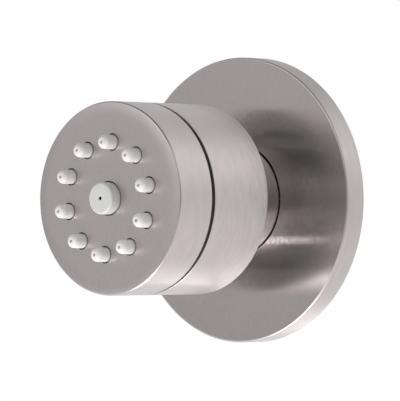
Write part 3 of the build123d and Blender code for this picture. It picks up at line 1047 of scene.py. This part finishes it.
@dataclass
class SprayNozzles:
    """The silicone mat with its ring of nozzles, and the blunt centre jet."""

    count: int = 10
    pitch: float = 14.5 * MM
    first_angle: float = math.radians(85.0)
    base: float = 1.9 * MM
    tip: float = 1.8 * MM
    tip_rounding: float = 1.3 * MM
    face: float = 57.0 * MM
    height: float = 4.0 * MM
    outlet: float = 0.45 * MM
    outlet_edge: float = 0.1 * MM
    outlet_depth: float = 0.7 * MM
    mat_radius: float = 22.4 * MM
    mat_back: float = 53.2 * MM
    mat_front: float = 55.4 * MM
    mat_hole: float = 5.3 * MM
    nozzle_segments: int = 48
    jet: float = 4.15 * MM
    jet_height: float = 3.1 * MM
    jet_edge: float = 0.6 * MM
    jet_flange: float = 5.25 * MM
    jet_bore: float = 1.6 * MM
    jet_outlet: float = 0.45 * MM
    jet_tip_wall: float = 1.4 * MM
    jet_segments: int = 96

    def places(self) -> list[Pair]:
        """The nozzles' places on the face.

        Returns:
            The x and z of each nozzle's axis.
        """
        angles = [self.first_angle + step * math.tau / self.count for step in range(self.count)]
        return [(self.pitch * math.cos(angle), self.pitch * math.sin(angle)) for angle in angles]

    def nozzle(self) -> Form:
        """Turn one nozzle on the jet's axis.

        Returns:
            The nozzle's form.
        """
        front = self.face + self.height
        return spun(
            Station(0.0, front - self.outlet_depth),
            Station(self.outlet, front - self.outlet_depth),
            Station(self.outlet, front, self.outlet_edge),
            Station(self.tip, front, self.tip_rounding),
            Station(self.base, self.face),
            Station(self.base, self.mat_front),
            Station(0.0, self.mat_front),
            closed=False,
            segments=self.nozzle_segments,
        )

    def mat(self) -> Form:
        """Turn the mat and set the nozzles on it.

        Returns:
            The mat's form.
        """
        form = spun(
            Station(self.mat_hole, self.mat_back),
            Station(self.mat_radius, self.mat_back),
            Station(self.mat_radius, self.mat_front),
            Station(self.mat_hole, self.mat_front),
        )
        nozzle = self.nozzle()
        for x, z in self.places():
            take_in(form, nozzle, Matrix.Translation((x, 0.0, z)))
        nozzle.free()
        return form

    def centre(self) -> Form:
        """Turn the centre jet.

        Returns:
            The jet's form, with the inside of its outlet on the second material, a dark finish painted there
            as the hole's shade.
        """
        front = self.face + self.jet_height
        form = spun(
            Station(self.jet_bore, self.mat_back),
            Station(self.jet_flange, self.mat_back),
            Station(self.jet_flange, self.mat_front),
            Station(self.jet, self.mat_front),
            Station(self.jet, front, self.jet_edge),
            Station(self.jet_outlet, front, self.outlet_edge),
            Station(self.jet_outlet, front - self.jet_tip_wall),
            Station(self.jet_bore, front - self.jet_tip_wall),
            segments=self.jet_segments,
        )
        # Painted shade: the outlet's inner faces take the dark finish in place of the shadow inside the hole.
        for face in form.faces:
            centre = face.calc_center_median()
            face.material_index = int(math.hypot(centre.x, centre.z) < self.jet_outlet + MERGE)
        return form

    def dress(self, finishes: Finishes) -> None:
        """Place the mat and the centre jet with their finishes."""
        Piece("nozzle_mat", Body.SPRAY_HEAD, "white_silicone").place(self.mat(), (finishes.silicone,))
        Piece("centre_jet", Body.SPRAY_HEAD, "grey_jet").place(self.centre(), (finishes.jet, finishes.black_and_painted_shade))


@dataclass
class InnerPieces:
    """The CAD nodes that show as they are: seals, seats, strainer and the ball on its stem."""

    seals: tuple[str, ...] = (
        "rosette_gasket", "rosette_o_ring", "inlet_o_ring", "limiter_o_ring", "stem_o_ring",
        "spray_plate_o_ring",
    )
    plastics: tuple[str, ...] = ("inlet_strainer", "flow_limiter", "spray_plate", "slide_ring", "ball_cup")
    blacks: tuple[str, ...] = ("socket_body",)
    steels: tuple[str, ...] = ("ball_stem", "disc_spring", "retainer_nut")

    def dress(self, finishes: Finishes) -> None:
        """Give each node its finish.

        Args:
            finishes: the jet's finishes.
        """
        groups = (
            (self.seals, finishes.rubber), (self.plastics, finishes.acetal),
            (self.blacks, finishes.black_and_painted_shade), (self.steels, finishes.ball),
        )
        for names, material in groups:
            for name in names:
                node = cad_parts[name]
                for slot in node.material_slots:
                    slot.link = "OBJECT"
                    slot.material = material
                LOG.info("%s: finished in %s", name, material.name)


@dataclass(frozen=True)
class Lamp:
    """A soft round lamp that the camera doesn't see."""

    name: str
    spot: Point
    size: float
    power: float

    def hang(self, aim: Point) -> None:
        """Put the lamp in its spot.

        Args:
            aim: the point that it shines at.
        """
        data = bpy.data.lights.new(self.name, "AREA")
        data.shape, data.size, data.energy = "DISK", self.size, self.power
        lamp = bpy.data.objects.new(self.name, data)
        lamp.location = self.spot
        lamp.visible_camera = False
        lamp.rotation_euler = (Vector(aim) - Vector(self.spot)).to_track_quat("-Z", "Y").to_euler()
        bpy.context.scene.collection.objects.link(lamp)


@dataclass(frozen=True)
class Patch:
    """A soft round patch in the studio's light: its middle's direction, its falloff and its level there."""

    middle: Point
    focus: float
    level: float

    def value(self, sheet: NodeSheet, direction: Socket) -> Socket:
        """Look the patch up.

        Args:
            sheet: the world's sheet.
            direction: where the light is looked up.

        Returns:
            The patch's value socket.
        """
        facing = sheet.math("MAXIMUM", sheet.vector("DOT_PRODUCT", direction, self.middle), 0.0)
        return sheet.math("MULTIPLY", sheet.math("POWER", facing, self.focus), self.level)


@dataclass(frozen=True)
class Grade:
    """Light graded by height: pairs of a height, from 0 straight down to 1 straight up, and a level."""

    levels: tuple[Pair, ...]

    def value(self, sheet: NodeSheet, height: Socket) -> Socket:
        """Look the level up.

        Args:
            sheet: the world's sheet.
            height: the height's socket.

        Returns:
            The level's socket.
        """
        top = max(level for _, level in self.levels)
        first, *inner, last = [(place, level / top) for place, level in self.levels]
        curve = sheet.add("ShaderNodeFloatCurve")
        points = curve.mapping.curves[0].points
        for spot in inner:
            points.new(*spot)
        points[0].location = first
        points[-1].location = last
        curve.mapping.update()
        sheet.join(height, curve.inputs["Value"])
        return sheet.math("MULTIPLY", curve.outputs["Value"], top)


@dataclass
class Studio:
    """Pale floor, soft light from all round and the camera at the photograph's angle."""

    azimuth: float = math.radians(42.0)
    elevation: float = math.radians(-0.61)
    distance: float = 1000.0 * MM
    offset_right: float = 14.6 * MM
    offset_up: float = 0.10 * MM
    focal_pixels: float = 3731.0
    image_height: float = 401.0
    sensor: float = 36.0
    clip: Pair = (0.01, 100.0)
    floor_drop: float = 0.30
    floor_radius: float = 1.6
    floor_segments: int = 96
    floor_colour: Colour = (0.80, 0.80, 0.79)
    floor_roughness: float = 0.9
    floor_glow: float = 0.47
    floor_fade: float = 0.40
    behind: Grade = Grade(((0.0, 0.85), (0.35, 0.85), (0.5, 0.81), (0.78, 1.0), (0.9, 0.5), (1.0, 0.15)))
    before: Grade = Grade(((0.0, 0.85), (0.30, 0.57), (0.5, 0.455), (0.66, 0.485), (0.85, 0.33), (1.0, 0.15)))
    far_side: Point = (0.669, 0.743, 0.0)
    turnover: Pair = (-0.7, 0.9)
    camera_shade: Patch = Patch((0.669, -0.743, 0.0), 6.0, -0.55)
    front_window: Patch = Patch((-0.30, -0.86, 0.42), 16.0, 1.0)
    light_tint: Colour = (1.0, 0.985, 0.975)
    aim: Point = (0.0, -0.045, 0.0)
    lamps: tuple[Lamp, ...] = (
        Lamp("low_front", (-0.10, -0.34, -0.285), 0.20, 0.27),
        Lamp("streak", (-0.10, -0.385, -0.285), 0.05, 0.16),
        Lamp("low_back", (-0.15, 0.40, -0.275), 0.15, 0.16),
        Lamp("under", (-0.018, -0.15, -0.285), 0.12, 0.34),
    )

    def camera(self) -> None:
        """Set the camera up."""
        data = bpy.data.cameras.new("camera")
        data.sensor_width = self.sensor
        data.lens = self.focal_pixels * self.sensor / self.image_height
        data.clip_start, data.clip_end = self.clip
        sin_a, cos_a = math.sin(self.azimuth), math.cos(self.azimuth)
        sin_e, cos_e = math.sin(self.elevation), math.cos(self.elevation)
        right = Vector((cos_a, sin_a, 0.0))
        back = Vector((sin_a * cos_e, -cos_a * cos_e, sin_e))
        up = back.cross(right)
        spot = back * self.distance - right * self.offset_right - up * self.offset_up
        camera = bpy.data.objects.new("camera", data)
        camera.matrix_world = Matrix.Translation(spot) @ Matrix((right, up, back)).transposed().to_4x4()
        bpy.context.scene.collection.objects.link(camera)
        bpy.context.scene.camera = camera

    def floor_finish(self) -> Material:
        """Make the floor's finish, which is clear from below and fades out towards the rim.

        Returns:
            The new material.
        """
        material, sheet, shader = start_material("pale_floor")
        shader.inputs["Base Color"].default_value = (*self.floor_colour, 1.0)
        shader.inputs["Roughness"].default_value = self.floor_roughness
        shader.inputs["Emission Color"].default_value = (*self.light_tint, 1.0)
        shader.inputs["Emission Strength"].default_value = self.floor_glow
        away = sheet.vector("LENGTH", sheet.vector("MULTIPLY", sheet.place(), (1.0, 1.0, 0.0)))
        fade = sheet.spread(away, (0.0, 1.0), (self.floor_fade, self.floor_radius), eased=True)
        below = sheet.add("ShaderNodeNewGeometry").outputs["Backfacing"]
        clear = sheet.add("ShaderNodeBsdfTransparent").outputs["BSDF"]
        shown = sheet.blend(sheet.math("MAXIMUM", below, fade), shader.outputs["BSDF"], clear)
        sheet.join(shown, sheet.tree.nodes["Material Output"].inputs["Surface"])
        return material

    def floor(self) -> None:
        """Lay the floor."""
        form = bmesh.new()
        drop = Matrix.Translation((0.0, 0.0, -self.floor_drop))
        bmesh.ops.create_circle(
            form, cap_ends=True, radius=self.floor_radius, segments=self.floor_segments, matrix=drop
        )
        mesh = bpy.data.meshes.new("floor")
        form.to_mesh(mesh)
        form.free()
        mesh.materials.append(self.floor_finish())
        floor = bpy.data.objects.new("floor", mesh)
        bpy.context.scene.collection.objects.link(floor)

    def surround(self, sheet: NodeSheet) -> Socket:
        """Make the light from all round: bright below and behind, dim before and above.

        Args:
            sheet: the world's sheet.

        Returns:
            The light's shader socket.
        """
        direction = sheet.add("ShaderNodeTexCoord").outputs["Generated"]
        _, _, rise = sheet.split(direction)
        height = sheet.spread(rise, (0.0, 1.0), (-1.0, 1.0))
        depth = sheet.vector("DOT_PRODUCT", direction, self.far_side)
        mix = sheet.add("ShaderNodeMix")
        sheet.join(sheet.spread(depth, (0.0, 1.0), self.turnover, eased=True), mix.inputs["Factor"])
        sheet.join(self.before.value(sheet, height), mix.inputs["A"])
        sheet.join(self.behind.value(sheet, height), mix.inputs["B"])
        shade = self.camera_shade.value(sheet, direction)
        window = self.front_window.value(sheet, direction)
        kept = sheet.math("MULTIPLY", mix.outputs["Result"], sheet.math("ADD", shade, 1.0))
        soft = sheet.add("ShaderNodeBackground")
        soft.inputs["Color"].default_value = (*self.light_tint, 1.0)
        sheet.join(sheet.math("ADD", kept, window), soft.inputs["Strength"])
        return soft.outputs["Background"]

    def world(self) -> None:
        """Set up the surrounding light, with white where the camera looks past the jet."""
        world = bpy.data.worlds.new("studio")
        world.use_nodes = True
        sheet = NodeSheet(world.node_tree)
        sheet.tree.nodes.clear()
        white = sheet.add("ShaderNodeBackground")
        white.inputs["Color"].default_value = (1.0, 1.0, 1.0, 1.0)
        looked_at = sheet.add("ShaderNodeLightPath").outputs["Is Camera Ray"]
        seen = sheet.blend(looked_at, self.surround(sheet), white.outputs["Background"])
        sheet.join(seen, sheet.add("ShaderNodeOutputWorld").inputs["Surface"])
        bpy.context.scene.world = world

    def build(self) -> None:
        """Set the whole studio up."""
        bpy.context.scene.view_settings.view_transform = "Standard"
        self.camera()
        self.floor()
        self.world()
        for lamp in self.lamps:
            lamp.hang(self.aim)


def main() -> None:
    """Build and dress the jet, piece by piece, and set up its studio."""
    logging.basicConfig(level=logging.INFO, format="%(name)s %(message)s")
    finishes = Finishes()
    nozzles = SprayNozzles()
    RosettePlate().dress(finishes)
    NeckSleeve().dress(finishes)
    InletStem().dress(finishes)
    HeadShell(places=nozzles.places()).dress(finishes)
    nozzles.dress(finishes)
    InnerPieces().dress(finishes)
    Studio().build()


if __name__ == "__main__":
    main()
